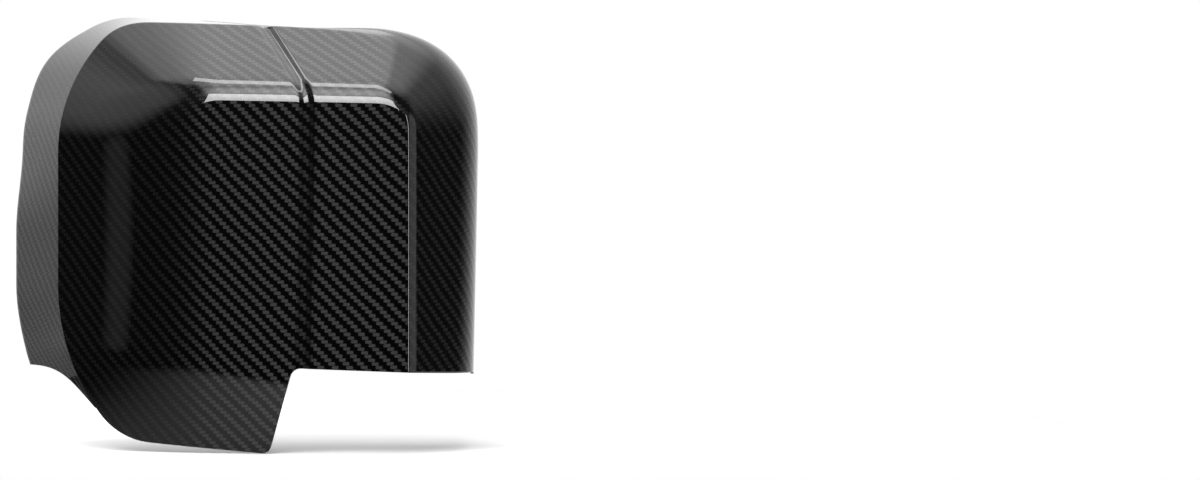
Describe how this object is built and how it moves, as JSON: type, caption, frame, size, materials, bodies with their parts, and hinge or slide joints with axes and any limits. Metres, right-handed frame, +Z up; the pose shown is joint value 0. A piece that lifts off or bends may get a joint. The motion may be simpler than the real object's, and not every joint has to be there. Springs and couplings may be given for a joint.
{
  "type": "wing mirror cover",
  "caption": "One-piece woven-fibre cover shell for the head of a car's outside mirror, with bevelled front, chin lobe, arm notch and open back.",
  "frame": {"origin": "centre of the part's bounding box", "axes": "+X towards the car, +Y from the front panel back to the rim, +Z up"},
  "size_m": [0.2664, 0.1378, 0.2466],
  "materials": {
    "cover_shell": "woven 2x2 twill carbon fibre laminate under a clear gloss coat"
  },
  "bodies": {
    "root": {"cover_shell": "cover_shell"}
  },
  "joints": []
}
